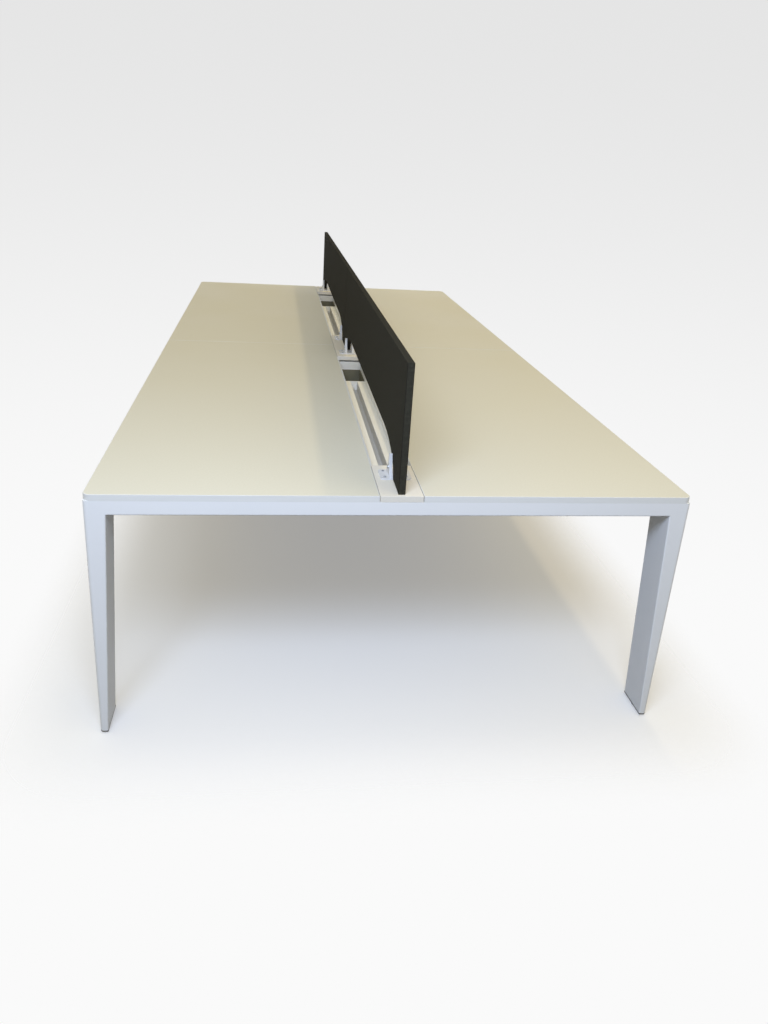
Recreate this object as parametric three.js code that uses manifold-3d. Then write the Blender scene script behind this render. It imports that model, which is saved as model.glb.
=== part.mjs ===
// A benching desk: two bays of back-to-back worktops on tapered blade legs, with an open cable channel and a dark
// screen along the middle. Millimetres, Z up. The origin is on the floor below the middle of the bench, X runs
// across it and Y along it. Most pieces are drawn for +X and +Y and mirrored; the cable tray is the same way round in
// both bays.
import * as THREE from "three";
import { mergeVertices } from "three/addons/utils/BufferGeometryUtils.js";
import Module from "manifold-3d";

// Whole bench
const benchWidth = 1640;
const bayLength = 1800;
const worktopHeight = 740;
const fit = 0.25; // clearance between pieces that slide or plug into each other

// Worktops
const boardThickness = 18;
const edgeBandThickness = 2;
const cornerRadius = 20; // outer corners, in plan
const seamGap = 2; // between the worktops of neighbouring bays

// Cable channel between the two rows of worktops
const channelWidth = 120;
const coverLength = 227; // flush infill at each end of a bay
const coverGap = 1.5; // joint line beside an infill
const ledgeWidth = 12; // how far the inner beams stand into the channel to carry the infills

// Frames: an inverted U of blade legs and a cross beam
const frameDepth = 115;
const beamHeight = 40;
const legTopWidth = 56;
const legFootWidth = 22;
const frameWall = 3;
const middleFrameDepth = 80;
const middleFrameInset = 200; // from the long edge of the bench to the middle legs

// Beams along the bench, from frame to frame
const innerBeamWidth = 40;
const innerBeamHeight = 60;
const outerBeamWidth = 40;
const outerBeamHeight = 40;
const outerBeamSetback = 280; // from the long edge of the bench
const beamWall = 2;

// Cable tray: a folded sheet screwed under the inner beams, with a groove along its raised floor
const traySheet = 2;
const trayRise = 18; // floor above the underside of the inner beams
const trayFlangeInset = 2; // from the outer face of the inner beams
const grooveWidth = 30;
const grooveDepth = 40;

// Cable pocket: a moulded trough at one end of the tray, where cables drop out of sight
const pocketLength = 200;
const pocketDepth = 60;
const pocketWall = 2.5;

// Bridges: folded plates across the channel under the infills, down to the tray
const bridgeSheet = 3;
const bridgeDrop = 8; // below the infill
const bridgeSetback = 4; // behind the open end of the infill

// Screens
const screenThickness = 20;
const screenHeight = 360; // above the worktop
const screenEndInset = 10; // from the end of the bench
const screenGap = 6; // between the two panels
const footSetback = 42; // from the open end of an infill to the foot that stands on it
const archRise = 86; // gap under the panel, which is the height of its feet
const archSweep = 165; // length of each curved end of the gap

// Clamps: a bracket with two cheeks, bolted through each foot of a panel
const clampLength = 70;
const cheekThickness = 9;
const cheekHeight = 66;
const cheekTip = 5; // radius of the tip
const flangeWidth = 34;
const flangeThickness = 4;
const flangeCorner = 8;
const boltRise = 26; // above the worktop
const boltRadius = 3;

// Levelling feet
const padRadius = 10;
const padHeight = 4.75;
const padChamfer = 1;
const stemRadius = 4;
const stemLength = 40;
const shoeThickness = 3; // flange of the shoe under the leg
const plugHeight = 30; // of the shoe, inside the leg

// Places that follow from the sizes above
const benchHalf = benchWidth / 2;
const channelHalf = channelWidth / 2;
const frameTop = worktopHeight - boardThickness;
const endFrameInner = bayLength - frameDepth;
const middleFrameHalf = middleFrameDepth / 2;
const middleFrameEdge = benchHalf - middleFrameInset;
const shoeBottom = padHeight + fit;
const legBottom = shoeBottom + shoeThickness;
const mitreRise = frameTop - beamHeight;
const innerBeamFace = channelHalf - ledgeWidth;
const innerBeamBottom = frameTop - innerBeamHeight;
const trayFloor = innerBeamBottom + trayRise;
const trayFlangeEnd = innerBeamFace + innerBeamWidth - trayFlangeInset;
const openStart = coverLength - bridgeSetback; // bridges at the two ends of the open channel
const openEnd = bayLength - openStart;
const footReach = coverLength - footSetback; // from the end of a bay
const clampCentre = footReach - clampLength / 2;
const screenFace = screenThickness / 2;
const screenStart = screenGap / 2;
const screenEnd = bayLength - screenEndInset;
const archTop = worktopHeight + archRise;
const cheekFace = screenFace + fit;
const boltHeight = worktopHeight + boltRise;
const flangeTop = worktopHeight + flangeThickness;
const glideInset = legFootWidth / 2; // from the outer face of a leg to the middle of its foot

const arcSteps = 8;
const roundSteps = 20;
const reach = 2 * benchWidth; // length of a cutter that passes right through

// Finishes
const laminate = { color: 0xdcd9c9, roughness: 0.35, metalness: 0 };
const infillLaminate = { color: 0xe7e3d8, roughness: 0.4, metalness: 0 };
const edgeLipping = { color: 0xdfe0dd, roughness: 0.45, metalness: 0 };
const framePaint = { color: 0xe5e8ea, roughness: 0.45, metalness: 0 };
const trayPaint = { color: 0xe9e8e1, roughness: 0.5, metalness: 0 };
const screenFabric = { color: 0x3a3833, roughness: 0.9, metalness: 0 };
const clampPaint = { color: 0xd4d5d7, roughness: 0.4, metalness: 0 };
const pocketPlastic = { color: 0x747059, roughness: 0.6, metalness: 0 };
const footPlastic = { color: 0x26272a, roughness: 0.6, metalness: 0 };

const wasm = await Module();
wasm.setup();

const axisX = new THREE.Vector3(1, 0, 0);
const axisY = new THREE.Vector3(0, 1, 0);
const axisZ = new THREE.Vector3(0, 0, 1);

function mesh(name, geometry, finish) {
  const made = new THREE.Mesh(geometry, new THREE.MeshStandardMaterial(finish));
  made.name = name;
  return made;
}

// A closed geometry as a solid, with its shared vertices merged.
function solid(geometry) {
  const bare = new THREE.BufferGeometry();
  bare.setAttribute("position", geometry.getAttribute("position"));
  bare.setIndex(geometry.getIndex());
  const merged = mergeVertices(bare, 1e-4);
  return new wasm.Manifold(
    new wasm.Mesh({
      numProp: 3,
      vertProperties: new Float32Array(merged.getAttribute("position").array),
      triVerts: new Uint32Array(merged.getIndex().array),
    }),
  );
}

// A solid as a geometry with flat faces.
function faceted(made) {
  const { vertProperties, triVerts, numProp } = made.getMesh();
  const places = new Float32Array(triVerts.length * 3);
  triVerts.forEach((vertex, i) => {
    places.set(vertProperties.subarray(vertex * numProp, vertex * numProp + 3), i * 3);
  });
  const geometry = new THREE.BufferGeometry();
  geometry.setAttribute("position", new THREE.BufferAttribute(places, 3));
  geometry.computeVertexNormals();
  return geometry;
}

const cut = (body, ...tools) =>
  faceted(tools.reduce((left, tool) => left.subtract(solid(tool)), solid(body)));
const join = (first, second) => faceted(solid(first).add(solid(second)));

function outline(points) {
  return new THREE.Shape(points.map(([u, v]) => new THREE.Vector2(u, v)));
}

const rectangle = (u0, u1, v0, v1) =>
  outline([
    [u0, v0],
    [u1, v0],
    [u1, v1],
    [u0, v1],
  ]);

function extrude(shape, depth, steps = arcSteps) {
  return new THREE.ExtrudeGeometry(shape, { depth, bevelEnabled: false, curveSegments: steps });
}

// An outline in (y, z), extruded along X.
function alongX(shape, x0, x1, steps) {
  const basis = new THREE.Matrix4().makeBasis(axisY, axisZ, axisX);
  return extrude(shape, x1 - x0, steps).applyMatrix4(basis).translate(x0, 0, 0);
}

// An outline in (x, z), extruded along Y.
function alongY(shape, y0, y1) {
  const basis = new THREE.Matrix4().makeBasis(axisX, axisZ, axisY.clone().negate());
  return extrude(shape, y1 - y0).applyMatrix4(basis).translate(0, y1, 0);
}

// An outline in (x, y), extruded along Z.
const alongZ = (shape, z0, z1) => extrude(shape, z1 - z0).translate(0, 0, z0);

const block = (x0, x1, y0, y1, z0, z1) => alongZ(rectangle(x0, x1, y0, y1), z0, z1);

// A cylinder along X, centred on x = 0, at a place in (y, z).
function pinX(radius, y, z) {
  const pin = new THREE.CylinderGeometry(radius, radius, reach, roundSteps);
  return pin.rotateZ(Math.PI / 2).translate(0, y, z);
}

// Worktop outline in plan, drawn in by an inset, with its outer corner rounded.
function worktopOutline(inset) {
  const x0 = channelHalf + inset;
  const x1 = benchHalf - inset;
  const y0 = seamGap / 2 + inset;
  const y1 = bayLength - inset;
  const radius = cornerRadius - inset;
  const shape = new THREE.Shape();
  shape.moveTo(x0, y0);
  shape.lineTo(x1, y0);
  shape.lineTo(x1, y1 - radius);
  shape.absarc(x1 - radius, y1 - radius, radius, 0, Math.PI / 2, false);
  shape.lineTo(x0, y1);
  shape.closePath();
  return shape;
}

const worktop = () => alongZ(worktopOutline(edgeBandThickness), frameTop, worktopHeight);

function edgeBand() {
  const ring = worktopOutline(0);
  ring.holes.push(worktopOutline(edgeBandThickness));
  return alongZ(ring, frameTop, worktopHeight);
}

// Inner face of a leg at a height, measured in from its outer face.
function legWidthAt(z) {
  const share = (z - legBottom) / (mitreRise - legBottom);
  return legFootWidth + (legTopWidth - legFootWidth) * share;
}

// Hollow blade leg with an upright outer face, mitred to the cross beam.
function leg(edge, y0, y1) {
  const blade = outline([
    [edge, legBottom],
    [edge, frameTop],
    [edge - legTopWidth, mitreRise],
    [edge - legFootWidth, legBottom],
  ]);
  const inside = outline([
    [edge - frameWall, legBottom - frameWall],
    [edge - frameWall, worktopHeight],
    [edge - legWidthAt(worktopHeight) + frameWall, worktopHeight],
    [edge - legWidthAt(legBottom - frameWall) + frameWall, legBottom - frameWall],
  ]);
  return cut(alongY(blade, y0, y1), alongY(inside, y0 + frameWall, y1 - frameWall));
}

// Hollow cross beam from leg to leg, with mitred ends.
function crossBeam(edge, y0, y1) {
  const trapezium = outline([
    [-edge, frameTop],
    [-edge + legTopWidth, mitreRise],
    [edge - legTopWidth, mitreRise],
    [edge, frameTop],
  ]);
  const inside = rectangle(-reach, reach, mitreRise + frameWall, frameTop - frameWall);
  return cut(alongY(trapezium, y0, y1), alongY(inside, y0 + frameWall, y1 - frameWall));
}

// Plastic shoe: a flange under the leg and a plug inside it, bored for the stem of the levelling foot.
function footShoe(edge, y0, y1) {
  const flange = block(edge - legFootWidth, edge, y0, y1, shoeBottom, legBottom - fit);
  const plugTop = legBottom + plugHeight;
  const wall = frameWall + fit;
  const plug = outline([
    [edge - wall, shoeBottom],
    [edge - wall, plugTop],
    [edge - legWidthAt(plugTop) + wall, plugTop],
    [edge - legFootWidth + wall, shoeBottom],
  ]);
  const bore = new THREE.CylinderGeometry(stemRadius + fit, stemRadius + fit, reach, roundSteps);
  bore.rotateX(Math.PI / 2).translate(edge - glideInset, (y0 + y1) / 2, 0);
  return cut(join(flange, alongY(plug, y0 + wall, y1 - wall)), bore);
}

// Levelling foot: a round pad on a stem.
function levellingFoot(edge, y0, y1) {
  const profile = [
    [0, 0],
    [padRadius - padChamfer, 0],
    [padRadius, padChamfer],
    [padRadius, padHeight - padChamfer],
    [padRadius - padChamfer, padHeight],
    [stemRadius, padHeight],
    [stemRadius, padHeight + stemLength],
    [0, padHeight + stemLength],
  ].map(([u, v]) => new THREE.Vector2(u, v));
  const foot = new THREE.LatheGeometry(profile, roundSteps);
  return foot.rotateX(Math.PI / 2).translate(edge - glideInset, (y0 + y1) / 2, 0);
}

// Rectangular tube along the bench, between the end frame and the middle frame.
function longBeam(x0, x1, height) {
  const section = rectangle(x0, x1, frameTop - height, frameTop);
  section.holes.push(
    rectangle(x0 + beamWall, x1 - beamWall, frameTop - height + beamWall, frameTop - beamWall),
  );
  return alongY(section, middleFrameHalf, endFrameInner);
}

const innerBeam = () => longBeam(innerBeamFace, innerBeamFace + innerBeamWidth, innerBeamHeight);

function outerBeam() {
  const outerFace = benchHalf - outerBeamSetback;
  return longBeam(outerFace - outerBeamWidth, outerFace, outerBeamHeight);
}

// Cable tray: the upper side of the folded sheet from the middle outwards, then its lower side back. A stop closes the
// far end of the groove.
function cableTray(y0, y1) {
  const groove = trayFloor - grooveDepth;
  const grooveHalf = grooveWidth / 2;
  const wall = innerBeamFace - fit;
  const half = [
    [grooveHalf, groove],
    [grooveHalf, trayFloor],
    [wall, trayFloor],
    [wall, innerBeamBottom],
    [trayFlangeEnd, innerBeamBottom],
    [trayFlangeEnd, innerBeamBottom - traySheet],
    [wall - traySheet, innerBeamBottom - traySheet],
    [wall - traySheet, trayFloor - traySheet],
    [grooveHalf + traySheet, trayFloor - traySheet],
    [grooveHalf + traySheet, groove - traySheet],
  ];
  const mirrored = half.map(([x, z]) => [-x, z]).reverse();
  const sheet = alongY(outline([...half, ...mirrored]), y0, y1);
  const stop = block(-grooveHalf - fit, grooveHalf + fit, y1 - traySheet, y1, groove - fit, trayFloor);
  return join(sheet, stop);
}

// Cable pocket: an open trough between the inner beams, on flanges under them.
function cablePocket(y0, y1) {
  const half = innerBeamFace - fit;
  const inner = half - pocketWall;
  const bottom = trayFloor - pocketDepth;
  const trough = block(-half, half, y0, y1, bottom, trayFloor);
  const flanges = block(-trayFlangeEnd, trayFlangeEnd, y0, y1, innerBeamBottom - traySheet, innerBeamBottom);
  const hollow = block(-inner, inner, y0 + pocketWall, y1 - pocketWall, bottom + pocketWall, worktopHeight);
  return cut(join(trough, flanges), hollow);
}

// Infill board of the channel, flush with the worktops.
function cover(y0, y1) {
  const half = channelHalf - coverGap;
  return block(-half, half, y0, y1, frameTop, worktopHeight);
}

// Bridge: a plate across the channel, folded down at both ends.
function bridge(y0, y1) {
  const top = frameTop - bridgeDrop;
  const bottom = trayFloor + fit;
  const half = innerBeamFace - fit;
  const fold = outline([
    [y0, bottom],
    [y0 + bridgeSheet, bottom],
    [y0 + bridgeSheet, top - bridgeSheet],
    [y1 - bridgeSheet, top - bridgeSheet],
    [y1 - bridgeSheet, bottom],
    [y1, bottom],
    [y1, top],
    [y0, top],
  ]);
  return alongX(fold, -half, half);
}

// Plain upper panel of a screen, over its two feet.
const screen = () =>
  block(-screenFace, screenFace, screenStart, screenEnd, archTop, worktopHeight + screenHeight);

// Foot of a screen: a board as high as the gap, whose inner side sweeps up to the panel, with a hole for the bolt and
// a notch over the base of the clamp.
function screenFoot(outerEnd) {
  const shape = new THREE.Shape();
  shape.moveTo(outerEnd, worktopHeight);
  shape.lineTo(footReach, worktopHeight);
  shape.absellipse(footReach + archSweep, worktopHeight, archSweep, archRise, Math.PI, Math.PI / 2, true);
  shape.lineTo(outerEnd, archTop);
  shape.closePath();
  const board = alongX(shape, -screenFace, screenFace, roundSteps);
  const notchHalf = clampLength / 2 + fit;
  const notch = block(
    -reach,
    reach,
    clampCentre - notchHalf,
    clampCentre + notchHalf,
    worktopHeight - fit,
    flangeTop + fit,
  );
  return cut(board, notch, pinX(boltRadius + fit, clampCentre, boltHeight));
}

// Clamp: a base that stands on the infill and passes under the screen's foot, and a pointed cheek on either side of it.
function clamp() {
  const base = new THREE.Shape();
  const corner = { x: cheekFace + flangeWidth - flangeCorner, y: clampLength / 2 - flangeCorner };
  base.absarc(corner.x, clampCentre + corner.y, flangeCorner, 0, Math.PI / 2, false);
  base.absarc(-corner.x, clampCentre + corner.y, flangeCorner, Math.PI / 2, Math.PI, false);
  base.absarc(-corner.x, clampCentre - corner.y, flangeCorner, Math.PI, Math.PI * 1.5, false);
  base.absarc(corner.x, clampCentre - corner.y, flangeCorner, Math.PI * 1.5, Math.PI * 2, false);
  base.closePath();
  const half = clampLength / 2;
  const shoulder = half / 3;
  const tipCentre = worktopHeight + cheekHeight - cheekTip;
  const tine = new THREE.Shape();
  tine.moveTo(clampCentre - half, worktopHeight);
  tine.lineTo(clampCentre + half, worktopHeight);
  tine.lineTo(clampCentre + half, flangeTop);
  tine.quadraticCurveTo(clampCentre + shoulder, boltHeight, clampCentre + cheekTip, tipCentre);
  tine.absarc(clampCentre, tipCentre, cheekTip, 0, Math.PI, false);
  tine.quadraticCurveTo(clampCentre - shoulder, boltHeight, clampCentre - half, flangeTop);
  tine.closePath();
  const right = alongX(tine, cheekFace, cheekFace + cheekThickness);
  const left = alongX(tine, -cheekFace - cheekThickness, -cheekFace);
  const body = join(join(alongZ(base, worktopHeight, flangeTop), right), left);
  return cut(body, pinX(boltRadius + fit, clampCentre, boltHeight));
}

const sides = [
  { name: "left", sign: -1 },
  { name: "right", sign: 1 },
];
const bays = [
  { name: "near", sign: -1 },
  { name: "far", sign: 1 },
];

// A leg with its shoe and levelling foot, on the +X side.
function legSet(label, edge, y0, y1) {
  return [
    mesh(`leg_${label}`, leg(edge, y0, y1), framePaint),
    mesh(`foot_shoe_${label}`, footShoe(edge, y0, y1), footPlastic),
    mesh(`levelling_foot_${label}`, levellingFoot(edge, y0, y1), footPlastic),
  ];
}

// What each seat has of its own.
function quarter(bay, side) {
  const label = `${bay.name}_${side.name}`;
  const group = new THREE.Group();
  group.scale.set(side.sign, bay.sign, 1);
  group.add(
    mesh(`worktop_${label}`, worktop(), laminate),
    mesh(`edge_band_${label}`, edgeBand(), edgeLipping),
    mesh(`inner_beam_${label}`, innerBeam(), framePaint),
    mesh(`outer_beam_${label}`, outerBeam(), framePaint),
    ...legSet(label, benchHalf, endFrameInner, bayLength),
  );
  return group;
}

// Foot of a screen in its clamp, measured from its end of the bay.
function clampedFoot(label, outerEnd) {
  const group = new THREE.Group();
  group.add(
    mesh(`screen_foot_${label}`, screenFoot(outerEnd), screenFabric),
    mesh(`screen_clamp_${label}`, clamp(), clampPaint),
  );
  return group;
}

// What the two seats of a bay share.
function bayMiddle(bay) {
  const group = new THREE.Group();
  group.scale.y = bay.sign;
  group.add(
    mesh(`end_beam_${bay.name}`, crossBeam(benchHalf, endFrameInner, bayLength), framePaint),
    mesh(`end_cover_${bay.name}`, cover(bayLength - coverLength, bayLength), infillLaminate),
    mesh(`bridge_${bay.name}_end`, bridge(openEnd, endFrameInner - fit), trayPaint),
    mesh(`bridge_${bay.name}_middle`, bridge(middleFrameHalf + fit, openStart), trayPaint),
    mesh(`screen_${bay.name}`, screen(), screenFabric),
    clampedFoot(`${bay.name}_middle`, screenStart),
  );
  const endFoot = clampedFoot(`${bay.name}_end`, screenEndInset);
  endFoot.scale.y = -1;
  endFoot.position.y = bayLength;
  group.add(endFoot);
  return group;
}

// Tray of a bay, with the pocket at its far end.
function cableRun(bayName, y0, y1) {
  const group = new THREE.Group();
  const split = y1 - pocketLength;
  group.add(
    mesh(`cable_tray_${bayName}`, cableTray(y0, split - fit), trayPaint),
    mesh(`cable_pocket_${bayName}`, cablePocket(split, y1), pocketPlastic),
  );
  return group;
}

// Middle frame, set in from the long edges, and the infill over it.
function middleFrame() {
  const group = new THREE.Group();
  const y0 = -middleFrameHalf;
  const y1 = middleFrameHalf;
  group.add(
    mesh("middle_beam", crossBeam(middleFrameEdge, y0, y1), framePaint),
    mesh("middle_cover", cover(-coverLength, coverLength), infillLaminate),
  );
  for (const side of sides) {
    const half = new THREE.Group();
    half.scale.x = side.sign;
    half.add(...legSet(`middle_${side.name}`, middleFrameEdge, y0, y1));
    group.add(half);
  }
  return group;
}

const bench = new THREE.Group();
bench.add(
  middleFrame(),
  cableRun("near", -endFrameInner + fit, -openStart - fit),
  cableRun("far", middleFrameHalf + fit, openEnd - fit),
);
for (const bay of bays) {
  bench.add(bayMiddle(bay));
  for (const side of sides) bench.add(quarter(bay, side));
}

export default bench;
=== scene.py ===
import math

import bmesh
import bpy
from mathutils import Matrix, Vector


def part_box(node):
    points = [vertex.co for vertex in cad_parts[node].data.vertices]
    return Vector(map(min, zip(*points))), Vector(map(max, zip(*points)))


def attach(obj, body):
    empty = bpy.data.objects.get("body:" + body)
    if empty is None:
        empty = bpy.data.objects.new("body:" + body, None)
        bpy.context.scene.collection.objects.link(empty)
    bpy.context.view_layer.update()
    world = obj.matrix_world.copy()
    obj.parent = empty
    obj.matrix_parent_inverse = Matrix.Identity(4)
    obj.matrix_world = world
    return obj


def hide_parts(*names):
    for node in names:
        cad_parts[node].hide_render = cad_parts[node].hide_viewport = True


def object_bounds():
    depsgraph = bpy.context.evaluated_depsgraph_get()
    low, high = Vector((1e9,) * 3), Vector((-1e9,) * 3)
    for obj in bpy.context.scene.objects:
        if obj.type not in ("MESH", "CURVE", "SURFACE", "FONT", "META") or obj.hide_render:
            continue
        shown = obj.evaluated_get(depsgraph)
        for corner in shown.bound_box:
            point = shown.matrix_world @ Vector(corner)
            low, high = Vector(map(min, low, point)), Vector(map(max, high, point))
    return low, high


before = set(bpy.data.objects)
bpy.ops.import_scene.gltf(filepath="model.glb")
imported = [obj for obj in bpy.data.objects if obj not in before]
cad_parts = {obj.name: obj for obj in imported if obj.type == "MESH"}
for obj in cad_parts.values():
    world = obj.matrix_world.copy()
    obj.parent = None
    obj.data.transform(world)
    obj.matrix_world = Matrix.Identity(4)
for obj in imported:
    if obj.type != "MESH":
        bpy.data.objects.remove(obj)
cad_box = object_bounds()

MM = 0.001

# Sizes that the frame doesn't give
FRAME_EDGE = 4 * MM  # rounding of the blade frames
CORNER_EDGE = 10 * MM  # rounding of the legs at the bench's corners, under the worktop's round corner
JOINT_EDGE = 0.4 * MM  # where a frame meets the worktop or a shoe
TUBE_EDGE = 3 * MM  # rounding of the long beams
SHEET_BEND = 0.9 * MM  # rounding of folded sheet
BAND_EDGE = 1.2 * MM  # rounding of the worktops' lipping
INFILL_EDGE = 1 * MM
SCREEN_EDGE = 3 * MM
CHEEK_EDGE = 1 * MM
SHOE_EDGE = 0.7 * MM
POCKET_EDGE = 0.8 * MM
CHEEK_PLATE = 9 * MM
CHEEK_PLAY = 0.25 * MM  # between a cheek and the screen
CHEEK_FLANGE = 4 * MM
BOLT_RISE = 26 * MM  # clamp bolts, above the infill
CLAMP_SCREW_SPREAD = 22 * MM  # flange screws, either side of the clamp's middle
CLAMP_SCREW_IN = 13 * MM  # flange screws, in from the end of the base
PAD_HEIGHT = 4.75 * MM
STEM_RADIUS = 4 * MM
THREAD_PITCH = 1.25 * MM
THREAD_DEPTH = 0.6 * MM
SCREW_SPACING = 360 * MM  # worktop and tray screws, along the bench
SCREW_END = 140 * MM  # first screw, from the end of a beam or tray
POCKET_SCREW_END = 30 * MM  # from the end of a pocket
TRAY_SHEET = 2 * MM
GROOVE_HALF = 15 * MM  # half the width of the groove in a tray
GROOVE_TOP = 679 * MM
SHADE_SHEET = 1 * MM  # thickness of the grey sheet in the groove, which paints the groove's shade

# Screw heads: radius and height
WORKTOP_SCREW = (5 * MM, 3 * MM)
TRAY_SCREW = (4.5 * MM, 2.6 * MM)
CLAMP_BOLT = (5.5 * MM, 3.5 * MM)
CLAMP_SCREW = (4 * MM, 2.2 * MM)
SOCKET = 0.48  # half the width of a hexagon socket, as a share of the head's radius

# Steps across a rounded edge, along a curve and round a turn
EDGE_STEPS = 3
CORNER_STEPS = 6
JOINT_STEPS = 2
SCREEN_STEPS = 4
ARC_STEPS = 20  # along each curved end of the gap under a screen
TURN_STEPS = 24  # round a screw, pad or thread

WELD = 0.01 * MM  # vertices closer than this are one
FLAT = math.radians(1)
CREASE = math.radians(35)
ALONG = 0.99  # share of an edge's length that has to run along an axis

UP = Vector((0, 0, 1))
DOWN = Vector((0, 0, -1))
SIDES = {"left": -1, "right": 1}
BAYS = {"near": -1, "far": 1}


def linear(hex_colour):
    """An sRGB hex colour as linear RGBA."""
    channels = [int(hex_colour[i:i + 2], 16) / 255 for i in (1, 3, 5)]
    return [c / 12.92 if c <= 0.04045 else ((c + 0.055) / 1.055) ** 2.4 for c in channels] + [1.0]


def add(tree, kind, inputs=None, **settings):
    """Adds a node. Inputs are plain values, or sockets to link from."""
    node = tree.nodes.new(kind)
    for name, value in settings.items():
        setattr(node, name, value)
    for name, value in (inputs or {}).items():
        if isinstance(value, bpy.types.NodeSocket):
            tree.links.new(value, node.inputs[name])
        else:
            node.inputs[name].default_value = value
    return node


def new_material(name):
    """An empty node material and its tree."""
    made = bpy.data.materials.new(name)
    made.use_nodes = True
    made.node_tree.nodes.clear()
    return made, made.node_tree


def noise_scale(mm):
    """Scale of a noise whose blotches are this size."""
    return 1 / (mm * MM)


def wave_scale(mm):
    """Scale of a wave whose bands repeat at this spacing."""
    return 2 * math.pi / (20 * mm * MM)


def melamine(name, dark, light, speck):
    """Melamine laminate, pressed on chipboard: pale and satin, with a faint mottle and wiped smears."""
    made, tree = new_material(name)
    place = add(tree, "ShaderNodeTexCoord").outputs["Object"]
    fleck = add(tree, "ShaderNodeTexNoise", {"Vector": place, "Scale": noise_scale(5), "Detail": 3.0})
    cloud = add(tree, "ShaderNodeTexNoise", {"Vector": place, "Scale": noise_scale(420), "Detail": 4.0})
    tone = add(
        tree, "ShaderNodeMix",
        {0: cloud.outputs["Fac"], 6: linear(dark), 7: linear(light)},
        data_type="RGBA",
    )
    colour = add(
        tree, "ShaderNodeMix",
        {0: fleck.outputs["Fac"], 6: tone.outputs[2], 7: linear(speck)},
        data_type="RGBA",
    )
    # Drawn at 4 mm: the real pearl texture, under 1 mm, is too fine to show.
    pearl = add(tree, "ShaderNodeTexNoise", {"Vector": place, "Scale": noise_scale(4), "Detail": 2.0})
    relief = add(
        tree, "ShaderNodeBump",
        {"Height": pearl.outputs["Fac"], "Strength": 0.05, "Distance": 0.3 * MM},
    )
    gloss = add(
        tree, "ShaderNodeMapRange",
        {"Value": cloud.outputs["Fac"], "From Min": 0.3, "From Max": 0.7, "To Min": 0.36, "To Max": 0.5},
    )
    shader = add(
        tree, "ShaderNodeBsdfPrincipled",
        {
            "Base Color": colour.outputs[2],
            "Roughness": gloss.outputs["Result"],
            "IOR": 1.5,
            "Specular IOR Level": 0.15,
            "Normal": relief.outputs["Normal"],
        },
    )
    add(tree, "ShaderNodeOutputMaterial", {"Surface": shader.outputs["BSDF"]})
    return made


def lipping():
    """ABS edge lipping, glued on and scraped round: pale grey, silky, with faint scraper marks along it."""
    made, tree = new_material("ABS lipping")
    place = add(tree, "ShaderNodeTexCoord").outputs["Object"]
    marks = add(tree, "ShaderNodeMapping", {"Vector": place, "Scale": (0.03, 0.03, 1.0)})
    scrape = add(
        tree, "ShaderNodeTexNoise",
        {"Vector": marks.outputs["Vector"], "Scale": noise_scale(2.5), "Detail": 2.0},
    )
    colour = add(
        tree, "ShaderNodeMix",
        {0: scrape.outputs["Fac"], 6: linear("#dddedb"), 7: linear("#e5e6e3")},
        data_type="RGBA",
    )
    relief = add(
        tree, "ShaderNodeBump",
        {"Height": scrape.outputs["Fac"], "Strength": 0.08, "Distance": 0.3 * MM},
    )
    shader = add(
        tree, "ShaderNodeBsdfPrincipled",
        {
            "Base Color": colour.outputs[2],
            "Roughness": 0.45,
            "IOR": 1.53,
            "Normal": relief.outputs["Normal"],
        },
    )
    add(tree, "ShaderNodeOutputMaterial", {"Surface": shader.outputs["BSDF"]})
    return made


def powder_coat(name, dark, light, roughness):
    """Powder coat, sprayed and baked on steel: even colour, a soft shine and a fine orange peel."""
    made, tree = new_material(name)
    place = add(tree, "ShaderNodeTexCoord").outputs["Object"]
    # Drawn at 3 mm: the real peel, about 1 mm, is too fine to show.
    peel = add(tree, "ShaderNodeTexNoise", {"Vector": place, "Scale": noise_scale(3), "Detail": 1.0})
    drift = add(tree, "ShaderNodeTexNoise", {"Vector": place, "Scale": noise_scale(160), "Detail": 3.0})
    spots = add(tree, "ShaderNodeTexNoise", {"Vector": place, "Scale": noise_scale(1.5), "Detail": 0.0})
    blend = add(
        tree, "ShaderNodeMix",
        {0: 0.35, 2: drift.outputs["Fac"], 3: spots.outputs["Fac"]},
        data_type="FLOAT",
    )
    colour = add(
        tree, "ShaderNodeMix",
        {0: blend.outputs[0], 6: linear(dark), 7: linear(light)},
        data_type="RGBA",
    )
    relief = add(
        tree, "ShaderNodeBump",
        {"Height": peel.outputs["Fac"], "Strength": 0.12, "Distance": 0.3 * MM},
    )
    shader = add(
        tree, "ShaderNodeBsdfPrincipled",
        {
            "Base Color": colour.outputs[2],
            "Roughness": roughness,
            "Specular IOR Level": 0.3,
            "Normal": relief.outputs["Normal"],
        },
    )
    add(tree, "ShaderNodeOutputMaterial", {"Surface": shader.outputs["BSDF"]})
    return made


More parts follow.
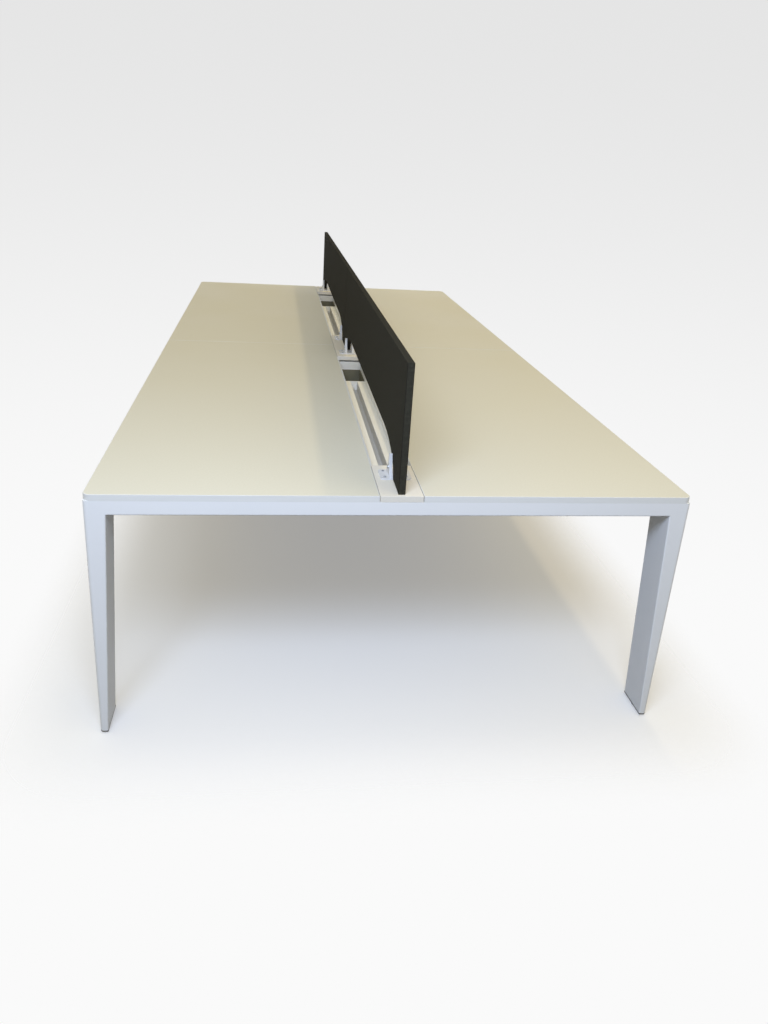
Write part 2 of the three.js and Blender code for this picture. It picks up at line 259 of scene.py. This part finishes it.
def woven_wool():
    """Woven wool fabric, stretched over a board: charcoal threads over and under, flecked, quite matt."""
    made, tree = new_material("woven wool fabric")
    place = add(tree, "ShaderNodeTexCoord").outputs["Object"]
    # Drawn at 3.2 mm: the real threads, about 1 mm, are too fine to show.
    thread = wave_scale(3.2)
    weft = add(
        tree, "ShaderNodeTexWave",
        {"Vector": place, "Scale": thread, "Distortion": 0.6, "Detail": 1.0, "Detail Scale": 2.0},
        bands_direction="Z",
    )
    warp = add(
        tree, "ShaderNodeTexWave",
        {"Vector": place, "Scale": thread, "Distortion": 0.6, "Detail": 1.0, "Detail Scale": 2.0},
        bands_direction="Y",
    )
    weave = add(
        tree, "ShaderNodeMath",
        {0: weft.outputs["Fac"], 1: warp.outputs["Fac"]},
        operation="MULTIPLY",
    )
    fleck = add(tree, "ShaderNodeTexNoise", {"Vector": place, "Scale": noise_scale(6), "Detail": 4.0})
    yarn = add(
        tree, "ShaderNodeMix",
        {0: fleck.outputs["Fac"], 6: linear("#37362e"), 7: linear("#5b594c")},
        data_type="RGBA",
    )
    colour = add(
        tree, "ShaderNodeMix",
        {0: weave.outputs["Value"], 6: linear("#22211d"), 7: yarn.outputs[2]},
        data_type="RGBA",
    )
    relief = add(
        tree, "ShaderNodeBump",
        {"Height": weave.outputs["Value"], "Strength": 0.5, "Distance": 0.8 * MM},
    )
    shader = add(
        tree, "ShaderNodeBsdfPrincipled",
        {
            "Base Color": colour.outputs[2],
            "Roughness": 0.9,
            "Specular IOR Level": 0.05,
            "Normal": relief.outputs["Normal"],
        },
    )
    add(tree, "ShaderNodeOutputMaterial", {"Surface": shader.outputs["BSDF"]})
    return made


def zinc_steel():
    """Zinc-plated steel, turned and pressed: bluish grey metal, half bright, a little cloudy."""
    made, tree = new_material("zinc-plated steel")
    place = add(tree, "ShaderNodeTexCoord").outputs["Object"]
    cloud = add(tree, "ShaderNodeTexNoise", {"Vector": place, "Scale": noise_scale(4), "Detail": 3.0})
    colour = add(
        tree, "ShaderNodeMix",
        {0: cloud.outputs["Fac"], 6: linear("#a4a8ac"), 7: linear("#bcc0c4")},
        data_type="RGBA",
    )
    gloss = add(
        tree, "ShaderNodeMapRange",
        {"Value": cloud.outputs["Fac"], "To Min": 0.25, "To Max": 0.45},
    )
    shader = add(
        tree, "ShaderNodeBsdfPrincipled",
        {"Base Color": colour.outputs[2], "Metallic": 1.0, "Roughness": gloss.outputs["Result"]},
    )
    add(tree, "ShaderNodeOutputMaterial", {"Surface": shader.outputs["BSDF"]})
    return made


def moulded(name, dark, light):
    """Plastic, moulded with a fine spark texture: dull, of one colour."""
    made, tree = new_material(name)
    place = add(tree, "ShaderNodeTexCoord").outputs["Object"]
    grain = add(tree, "ShaderNodeTexNoise", {"Vector": place, "Scale": noise_scale(0.8), "Detail": 2.0})
    colour = add(
        tree, "ShaderNodeMix",
        {0: grain.outputs["Fac"], 6: linear(dark), 7: linear(light)},
        data_type="RGBA",
    )
    relief = add(
        tree, "ShaderNodeBump",
        {"Height": grain.outputs["Fac"], "Strength": 0.2, "Distance": 0.1 * MM},
    )
    shader = add(
        tree, "ShaderNodeBsdfPrincipled",
        {
            "Base Color": colour.outputs[2],
            "Roughness": 0.6,
            "IOR": 1.53,
            "Normal": relief.outputs["Normal"],
        },
    )
    add(tree, "ShaderNodeOutputMaterial", {"Surface": shader.outputs["BSDF"]})
    return made


laminate = melamine("melamine laminate", "#dcd9c9", "#e1dfd1", "#d6d3c2")
infill_laminate = melamine("pale grey melamine laminate", "#e7e2d6", "#ece8de", "#e1dccf")
edge_lipping = lipping()
frame_paint = powder_coat("silver powder coat", "#e7e9e9", "#eff0f0", 0.45)
tray_paint = powder_coat("white powder coat", "#e6e5dd", "#efeee8", 0.5)
clamp_paint = powder_coat("pale silver powder coat", "#cfd0d2", "#dadbdc", 0.42)
fabric = woven_wool()
steel = zinc_steel()
plastic = moulded("moulded nylon", "#202123", "#2c2d30")
# A grey sheet in each tray's groove: its darker grey is painted shade for the groove.
groove_shade_plastic = moulded("grey PVC painted as groove shade", "#c6c6c4", "#d0d0ce")
# The cable pockets' dark olive colour is painted shade: it stands for the shade deep in the recess under
# each infill.
pocket_plastic = moulded("dark polypropylene painted as recess shade", "#6f6b57", "#797560")


def from_nodes(*nodes):
    """CAD nodes as one whole mesh."""
    made = bmesh.new()
    for node in nodes:
        made.from_mesh(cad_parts[node].data)
    return whole(made)


def whole(made):
    """Joins a mesh's shared corners, makes its flat faces whole and turns them all outwards."""
    bmesh.ops.remove_doubles(made, verts=made.verts, dist=WELD)
    bmesh.ops.dissolve_limit(made, angle_limit=FLAT, verts=made.verts, edges=made.edges)
    bmesh.ops.recalc_face_normals(made, faces=made.faces)
    return made


def filled(node):
    """The outside of a hollow CAD tube."""
    made = bmesh.new()
    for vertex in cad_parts[node].data.vertices:
        made.verts.new(vertex.co)
    bmesh.ops.remove_doubles(made, verts=made.verts, dist=WELD)
    hull = bmesh.ops.convex_hull(made, input=made.verts)
    inner = {part for part in hull["geom_interior"] if isinstance(part, bmesh.types.BMVert)}
    bmesh.ops.delete(made, geom=list(inner), context="VERTS")
    return whole(made)


def welded(*nodes):
    """The outside of tubes that are welded and ground flush, without the faces inside the joints."""
    made = bmesh.new()
    for node in nodes:
        tube = filled(node)
        holder = bpy.data.meshes.new(node)
        tube.to_mesh(holder)
        tube.free()
        made.from_mesh(holder)
        bpy.data.meshes.remove(holder)
    bmesh.ops.remove_doubles(made, verts=made.verts, dist=WELD)
    inside = [face for face in made.faces if all(len(edge.link_faces) > 2 for edge in face.edges)]
    bmesh.ops.delete(made, geom=inside, context="FACES_ONLY")
    return whole(made)


def round_edges(made, radius, wanted=lambda edge: True, steps=EDGE_STEPS):
    """Rounds the creases of a mesh, or those that are wanted."""
    creases = [
        edge for edge in made.edges
        if len(edge.link_faces) == 2 and edge.calc_face_angle() > CREASE and wanted(edge)
    ]
    bmesh.ops.bevel(
        made, geom=creases, offset=radius, offset_type="OFFSET", segments=steps, profile=0.5,
        affect="EDGES", clamp_overlap=True,
    )
    return made


def along(edge, axis):
    """Whether an edge runs along one axis."""
    run = edge.verts[1].co - edge.verts[0].co
    return abs(run[axis]) > ALONG * run.length


def at_corner(edge):
    """Whether an edge stands upright at one of the bench's four corners."""
    foot = edge.verts[0].co
    return along(edge, 2) and all(abs(foot[axis]) > cad_box[1][axis] - WELD for axis in (0, 1))


def piece(name, made, body, slot, finish, *nodes):
    """Puts a mesh into the scene as a piece that rides on a body and stands for CAD nodes."""
    data = bpy.data.meshes.new(name)
    made.to_mesh(data)
    made.free()
    data.polygons.foreach_set("use_smooth", [True] * len(data.polygons))
    data.set_sharp_from_angle(angle=CREASE)
    data.materials.append(finish)
    obj = bpy.data.objects.new(name, data)
    bpy.context.collection.objects.link(obj)
    shading = obj.modifiers.new("even shading", "WEIGHTED_NORMAL")
    shading.keep_sharp = True
    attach(obj, body)
    if nodes:
        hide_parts(*nodes)
    return obj


def rings(made, profile, place):
    """Closed skin through rings of points, each a radius and a height. A radius may depend on the angle.

    place sets a point from its two offsets and its height.
    """
    loops = []
    for radius, height in profile:
        loop = []
        for step in range(TURN_STEPS):
            angle = 2 * math.pi * step / TURN_STEPS
            reach = radius(angle) if callable(radius) else radius
            loop.append(made.verts.new(place(reach * math.cos(angle), reach * math.sin(angle), height)))
        loops.append(loop)
    for lower, upper in zip(loops, loops[1:]):
        for step in range(TURN_STEPS):
            after = (step + 1) % TURN_STEPS
            made.faces.new((lower[step], lower[after], upper[after], upper[step]))
    made.faces.new(loops[0])
    made.faces.new(loops[-1])


def between(*outlines):
    """Closed skin from one outline of points to another like it."""
    made = bmesh.new()
    faces = [made.faces.new([made.verts.new(point) for point in outline]) for outline in outlines]
    bmesh.ops.bridge_loops(made, edges=[edge for face in faces for edge in face.edges])
    bmesh.ops.recalc_face_normals(made, faces=made.faces)
    return made


def screw_head(made, seat, out, radius, height):
    """Button head with a hexagon socket, on a seat and facing out."""
    turn = UP.rotation_difference(out).to_matrix()

    def place(u, v, w):
        return seat + turn @ Vector((u, v, w))

    def socket(angle):
        return SOCKET * radius / math.cos((angle + math.pi / 6) % (math.pi / 3) - math.pi / 6)

    profile = [
        (radius, 0),
        (radius, 0.3 * height),
        (0.94 * radius, 0.62 * height),
        (0.8 * radius, 0.88 * height),
        (0.66 * radius, height),
        (socket, height),
        (socket, 0.35 * height),
    ]
    rings(made, profile, place)


def screw_places(start, stop, end):
    """Even places for screws along a length, set in from its ends."""
    gaps = max(1, round((stop - start - 2 * end) / SCREW_SPACING))
    return [start + end + i * (stop - start - 2 * end) / gaps for i in range(gaps + 1)]


def steel_screws(name, made, slot):
    """Puts screw heads, drawn in one mesh, on the bench."""
    bmesh.ops.recalc_face_normals(made, faces=made.faces)
    return piece(name, made, "bench", slot, steel)


# Worktops: the board keeps its shape, and its lipping is rounded along the outside.
for bay in BAYS:
    for side in SIDES:
        label = f"{bay}_{side}"
        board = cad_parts[f"worktop_{label}"]
        board.data.materials.clear()
        board.data.materials.append(laminate)
        low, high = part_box(f"worktop_{label}")
        middle = (low + high) / 2

        def outer(edge):
            outside = any(
                abs(face.normal.z) < 0.5 and face.normal.dot(face.calc_center_median() - middle) > 0
                for face in edge.link_faces
            )
            return outside and all(vertex.co.z > middle.z for vertex in edge.verts)

        band = round_edges(from_nodes(f"edge_band_{label}"), BAND_EDGE, outer)
        piece(f"lipping_{label}", band, "bench", "edge_lipping", edge_lipping, f"edge_band_{label}")

# Infills of the channel
for cover in ("end_cover_near", "middle_cover", "end_cover_far"):
    board = round_edges(from_nodes(cover), INFILL_EDGE)
    piece(f"infill_{cover}", board, "bench", "infill_laminate", infill_laminate, cover)

# Blade frames: legs and cross beam welded into one
for place, beam in (("near", "end_beam_near"), ("middle", "middle_beam"), ("far", "end_beam_far")):
    nodes = [beam, f"leg_{place}_left", f"leg_{place}_right"]
    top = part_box(beam)[1].z
    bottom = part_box(nodes[1])[0].z

    def at_joint(edge):
        heights = [vertex.co.z for vertex in edge.verts]
        return min(heights) > top - WELD or max(heights) < bottom + WELD

    made = round_edges(welded(*nodes), CORNER_EDGE, at_corner, CORNER_STEPS)
    round_edges(made, FRAME_EDGE, lambda edge: not at_joint(edge))
    round_edges(made, JOINT_EDGE, at_joint, JOINT_STEPS)
    piece(f"blade_frame_{place}", made, "bench", "frame_paint", frame_paint, *nodes)

# Long beams, with the screws that hold the worktops
for bay in BAYS:
    for side in SIDES:
        label = f"{bay}_{side}"
        for kind in ("inner_beam", "outer_beam"):
            node = f"{kind}_{label}"
            tube = round_edges(filled(node), TUBE_EDGE, lambda edge: along(edge, 1))
            piece(f"long_{node}", tube, "bench", "frame_paint", frame_paint, node)
        low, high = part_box(f"outer_beam_{label}")
        screws = bmesh.new()
        for y in screw_places(low.y, high.y, SCREW_END):
            seat = Vector(((low.x + high.x) / 2, y, low.z))
            screw_head(screws, seat, DOWN, *WORKTOP_SCREW)
        steel_screws(f"worktop_screws_{label}", screws, "frame_paint")

# Cable trays and pockets with their screws, and the bridges
for bay in BAYS:
    tray_node = f"cable_tray_{bay}"
    tray = round_edges(from_nodes(tray_node), SHEET_BEND, lambda edge: along(edge, 1))
    piece(f"folded_{tray_node}", tray, "bench", "tray_paint", tray_paint, tray_node)
    low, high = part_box(tray_node)
    # A thin grey sheet along the groove paints the groove's shade: it darkens the recess between the tray's
    # two light strips.
    groove = [
        (-GROOVE_HALF, GROOVE_TOP),
        (-GROOVE_HALF, low.z + TRAY_SHEET),
        (GROOVE_HALF, low.z + TRAY_SHEET),
        (GROOVE_HALF, GROOVE_TOP),
        (GROOVE_HALF - SHADE_SHEET, GROOVE_TOP),
        (GROOVE_HALF - SHADE_SHEET, low.z + TRAY_SHEET + SHADE_SHEET),
        (-GROOVE_HALF + SHADE_SHEET, low.z + TRAY_SHEET + SHADE_SHEET),
        (-GROOVE_HALF + SHADE_SHEET, GROOVE_TOP),
    ]
    shade_sheet_ends = (low.y + TRAY_SHEET, high.y - 2 * TRAY_SHEET)
    shade_sheet = between(*([(x, y, z) for x, z in groove] for y in shade_sheet_ends))
    piece(f"groove_shade_sheet_{bay}", shade_sheet, "bench", "tray_paint", groove_shade_plastic)
    # Each pocket is drawn dark olive: its colour paints the shade of the recess under the infill.
    pocket_node = f"cable_pocket_{bay}"
    pocket = round_edges(from_nodes(pocket_node), POCKET_EDGE)
    piece(f"moulded_{pocket_node}", pocket, "bench", "pocket_plastic", pocket_plastic, pocket_node)
    screws = bmesh.new()
    for node, end in ((tray_node, SCREW_END), (pocket_node, POCKET_SCREW_END)):
        low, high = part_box(node)
        for side in SIDES:
            beam_low, beam_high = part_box(f"inner_beam_{bay}_{side}")
            x = (beam_low.x + beam_high.x) / 2
            for y in screw_places(low.y, high.y, end):
                seat = Vector((x, y, beam_low.z - TRAY_SHEET))
                screw_head(screws, seat, DOWN, *TRAY_SCREW)
    steel_screws(f"tray_screws_{bay}", screws, "tray_paint")
    for end in ("end", "middle"):
        node = f"bridge_{bay}_{end}"
        plate = round_edges(from_nodes(node), SHEET_BEND, lambda edge: along(edge, 0))
        piece(f"folded_{node}", plate, "bench", "tray_paint", tray_paint, node)


def screen_panel(bay, sign):
    """A screen as one board: a panel whose lower edge rises between two feet."""
    low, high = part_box(f"screen_{bay}")
    nodes = [f"screen_{bay}"]
    top = high.z
    start, stop = sorted((abs(low.y), abs(high.y)))
    lower_edge = []
    for end in ("middle", "end"):
        node = f"screen_foot_{bay}_{end}"
        nodes.append(node)
        foot_low, foot_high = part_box(node)
        base = foot_low.z
        arch = foot_high.z
        near, far = sorted((abs(foot_low.y), abs(foot_high.y)))
        standing = [
            abs(vertex.co.y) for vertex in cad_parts[node].data.vertices
            if vertex.co.z < base + WELD
        ]
        if end == "middle":
            heel, toe, centre = start, max(standing), far
        else:
            heel, toe, centre = stop, min(standing), near
        sweep = [
            (centre + (toe - centre) * math.cos(turn), base + (arch - base) * math.sin(turn))
            for turn in (0.5 * math.pi * step / ARC_STEPS for step in range(ARC_STEPS + 1))
        ]
        half = [(heel, base), *sweep]
        lower_edge += half if end == "middle" else half[::-1]
    outline = [*lower_edge, (stop, top), (start, top)]
    made = between(*([(x, sign * reach, z) for reach, z in outline] for x in (low.x, high.x)))
    round_edges(made, SCREEN_EDGE, lambda edge: not along(edge, 0), SCREEN_STEPS)
    return piece(f"fabric_screen_{bay}", made, "bench", "screen_fabric", fabric, *nodes)


for bay, sign in BAYS.items():
    screen_panel(bay, sign)

# Clamps: a base with two pointed cheeks, with their bolts and flange screws
for bay in BAYS:
    for end in ("end", "middle"):
        node = f"screen_clamp_{bay}_{end}"
        bracket = round_edges(from_nodes(node), CHEEK_EDGE)
        piece(f"pointed_{node}", bracket, "bench", "clamp_paint", clamp_paint, node)
        low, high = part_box(node)
        centre = (low.y + high.y) / 2
        cheek_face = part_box(f"screen_{bay}")[1].x + CHEEK_PLAY + CHEEK_PLATE
        screws = bmesh.new()
        for sign in SIDES.values():
            seat = Vector((sign * cheek_face, centre, low.z + BOLT_RISE))
            screw_head(screws, seat, Vector((sign, 0, 0)), *CLAMP_BOLT)
            for spread in (-CLAMP_SCREW_SPREAD, CLAMP_SCREW_SPREAD):
                seat = Vector((sign * (high.x - CLAMP_SCREW_IN), centre + spread, low.z + CHEEK_FLANGE))
                screw_head(screws, seat, UP, *CLAMP_SCREW)
        steel_screws(f"clamp_bolts_{bay}_{end}", screws, "clamp_paint")


def levelling_foot(node):
    """Glide with a rounded pad and a threaded stem."""
    low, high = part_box(node)
    middle = Vector(((low.x + high.x) / 2, (low.y + high.y) / 2, low.z))
    pad = (high.x - low.x) / 2
    made = bmesh.new()
    profile = [
        (0.86 * pad, 0),
        (0.96 * pad, 0.12 * PAD_HEIGHT),
        (pad, 0.32 * PAD_HEIGHT),
        (pad, 0.62 * PAD_HEIGHT),
        (0.95 * pad, 0.86 * PAD_HEIGHT),
        (0.85 * pad, PAD_HEIGHT),
        (STEM_RADIUS - THREAD_DEPTH, PAD_HEIGHT),
    ]
    # Each turn of the thread climbs by its pitch: a crest and a root follow each other up the stem.
    half_turns = int((high.z - low.z - PAD_HEIGHT) / (THREAD_PITCH / 2))
    for half in range(1, half_turns):
        radius = STEM_RADIUS if half % 2 else STEM_RADIUS - THREAD_DEPTH
        profile.append((radius, PAD_HEIGHT + half * THREAD_PITCH / 2))

    def place(u, v, w):
        climb = THREAD_PITCH * (math.atan2(v, u) / (2 * math.pi)) if w > PAD_HEIGHT else 0
        return middle + Vector((u, v, w + climb))

    rings(made, profile, place)
    bmesh.ops.recalc_face_normals(made, faces=made.faces)
    return piece(f"glide_{node}", made, node, "foot_plastic", plastic, node)


for place in ("near", "middle", "far"):
    for side in SIDES:
        label = f"{place}_{side}"
        shoe = f"foot_shoe_{label}"
        made = round_edges(from_nodes(shoe), CORNER_EDGE, at_corner, CORNER_STEPS)
        piece(f"moulded_{shoe}", round_edges(made, SHOE_EDGE), "bench", "foot_plastic", plastic, shoe)
        levelling_foot(f"levelling_foot_{label}")

# Floor: a pale sheet that takes the shadow and fades into the backdrop round the bench
FLOOR_SIZE = 12.0
FADE_START = 0.0  # outside the bench's outline
FADE_END = 0.4
FLOOR_LIFT = 0.23  # brightness that is seen, but lights nothing


def seen_directly(tree):
    """1 for what the camera sees, also in a reflection or through glass, and 0 for light on a surface."""
    ray = add(tree, "ShaderNodeLightPath")
    plain = add(
        tree, "ShaderNodeMath",
        {0: ray.outputs["Is Camera Ray"], 1: ray.outputs["Is Glossy Ray"]},
        operation="MAXIMUM",
    )
    every = add(
        tree, "ShaderNodeMath",
        {0: plain.outputs["Value"], 1: ray.outputs["Is Transmission Ray"]},
        operation="MAXIMUM",
    )
    return every.outputs["Value"]


def studio_floor(width, length):
    """Matt studio floor paint: white, fading into the backdrop, and grey in the light that it returns.

    The fade starts at the outline of the bench, given as half its width and half its length. From below,
    the floor is clear.
    """
    made, tree = new_material("studio floor paint")
    place = add(tree, "ShaderNodeTexCoord").outputs["Object"]
    spread = add(tree, "ShaderNodeVectorMath", {0: place}, operation="ABSOLUTE")
    outside = add(
        tree, "ShaderNodeVectorMath",
        {0: spread.outputs["Vector"], 1: (width, length, 0)},
        operation="SUBTRACT",
    )
    beyond = add(
        tree, "ShaderNodeVectorMath",
        {0: outside.outputs["Vector"], 1: (0, 0, 0)},
        operation="MAXIMUM",
    )
    distance = add(tree, "ShaderNodeVectorMath", {0: beyond.outputs["Vector"]}, operation="LENGTH")
    fade = add(
        tree, "ShaderNodeMapRange",
        {"Value": distance.outputs["Value"], "From Min": FADE_START, "From Max": FADE_END},
        interpolation_type="SMOOTHSTEP",
    )
    seen = seen_directly(tree)
    below = add(tree, "ShaderNodeNewGeometry").outputs["Backfacing"]
    gone = add(tree, "ShaderNodeMath", {0: fade.outputs["Result"], 1: below}, operation="MAXIMUM")
    hidden = add(
        tree, "ShaderNodeMath",
        {0: gone.outputs["Value"], 1: seen},
        operation="MULTIPLY",
    )
    colour = add(
        tree, "ShaderNodeMix",
        {0: seen, 6: linear("#6a6a6a"), 7: linear("#dddddd")},
        data_type="RGBA",
    )
    paint = add(tree, "ShaderNodeBsdfDiffuse", {"Color": colour.outputs[2]})
    lift = add(
        tree, "ShaderNodeMath",
        {0: seen, 1: FLOOR_LIFT},
        operation="MULTIPLY",
    )
    glow = add(tree, "ShaderNodeEmission", {"Strength": lift.outputs["Value"]})
    lifted = add(tree, "ShaderNodeAddShader", {0: paint.outputs["BSDF"], 1: glow.outputs["Emission"]})
    clear = add(tree, "ShaderNodeBsdfTransparent")
    mixed = add(
        tree, "ShaderNodeMixShader",
        {0: hidden.outputs["Value"], 1: lifted.outputs["Shader"], 2: clear.outputs["BSDF"]},
    )
    add(tree, "ShaderNodeOutputMaterial", {"Surface": mixed.outputs["Shader"]})
    return made


sheet = bmesh.new()
bmesh.ops.create_grid(sheet, x_segments=1, y_segments=1, size=FLOOR_SIZE)
floor_data = bpy.data.meshes.new("studio_floor")
sheet.to_mesh(floor_data)
sheet.free()
floor_data.materials.append(studio_floor(cad_box[1].x, cad_box[1].y))
floor = bpy.data.objects.new("studio_floor", floor_data)
bpy.context.collection.objects.link(floor)

# World and lamps
AMBIENT = 0.58  # strength of the light from all round


def studio_world():
    """A backdrop, grey above and white below, and soft light: warm from above and cool from the sides."""
    made = bpy.data.worlds.new("studio")
    made.use_nodes = True
    tree = made.node_tree
    tree.nodes.clear()
    heading = add(tree, "ShaderNodeTexCoord").outputs["Generated"]
    height = add(tree, "ShaderNodeSeparateXYZ", {0: heading})
    rise = add(
        tree, "ShaderNodeMapRange",
        {"Value": height.outputs["Z"], "From Min": -0.5, "From Max": 0.2},
        interpolation_type="SMOOTHSTEP",
    )
    tone = add(
        tree, "ShaderNodeMix",
        {0: rise.outputs["Result"], 6: linear("#fafafa"), 7: linear("#e5e5e5")},
        data_type="RGBA",
    )
    ceiling = add(
        tree, "ShaderNodeMapRange",
        {"Value": height.outputs["Z"], "From Min": 0.2, "From Max": 0.9},
        interpolation_type="SMOOTHSTEP",
    )
    light = add(
        tree, "ShaderNodeMix",
        {0: ceiling.outputs["Result"], 6: linear("#f4f5fa"), 7: linear("#f8e49c")},
        data_type="RGBA",
    )
    ambient = add(tree, "ShaderNodeBackground", {"Color": light.outputs[2], "Strength": AMBIENT})
    backdrop = add(tree, "ShaderNodeBackground", {"Color": tone.outputs[2], "Strength": 1.0})
    either = add(
        tree, "ShaderNodeMixShader",
        {0: seen_directly(tree), 1: ambient.outputs["Background"], 2: backdrop.outputs["Background"]},
    )
    add(tree, "ShaderNodeOutputWorld", {"Surface": either.outputs["Shader"]})
    return made


bpy.context.scene.world = studio_world()


def area_light(name, place, aim, width, length, watts, colour):
    """Soft rectangular lamp, aimed at a point."""
    lamp = bpy.data.lights.new(name, "AREA")
    lamp.shape = "RECTANGLE"
    lamp.size = width
    lamp.size_y = length
    lamp.energy = watts
    lamp.color = linear(colour)[:3]
    obj = bpy.data.objects.new(name, lamp)
    obj.location = place
    obj.rotation_euler = (Vector(aim) - Vector(place)).to_track_quat("-Z", "Y").to_euler()
    bpy.context.collection.objects.link(obj)
    return obj


area_light(
    "window_side", place=(-0.6, -3.45, 2.55), aim=(0.0, -1.4, 0.6),
    width=1.6, length=0.8, watts=70, colour="#cfe0ff",
)
window_back = area_light(
    "window_back", place=(0.6, 5.2, 1.6), aim=(0.0, 1.4, 0.5),
    width=2.0, length=1.0, watts=42, colour="#eef3ff",
)
window_back.visible_glossy = False  # no glare on the far worktops
area_light(
    "ceiling_strip", place=(0.87, 0, 2.7), aim=(0.4, 0, 0.74),
    width=7.0, length=0.12, watts=17, colour="#ffe8bc",
)

# Camera at the photograph's angle
SENSOR = 36.0
LENS = 28.03
SHIFT = (0.0059, -0.0449)
CAMERA_PLACE = (-0.346, -3.718, 1.569)
FACING = math.radians(-8.172)
TILT = math.radians(69.008)
ROLL = math.radians(3.545)
camera_data = bpy.data.cameras.new("camera")
camera_data.sensor_fit = "VERTICAL"
camera_data.sensor_height = SENSOR
camera_data.lens = LENS
camera_data.shift_x, camera_data.shift_y = SHIFT
camera = bpy.data.objects.new("camera", camera_data)
bpy.context.collection.objects.link(camera)
facing = Matrix.Rotation(FACING, 4, "Z")
tilt = Matrix.Rotation(TILT, 4, "X")
roll = Matrix.Rotation(ROLL, 4, "Z")
camera.matrix_world = Matrix.Translation(CAMERA_PLACE) @ facing @ tilt @ roll
bpy.context.scene.camera = camera
bpy.context.scene.view_settings.view_transform = "Standard"
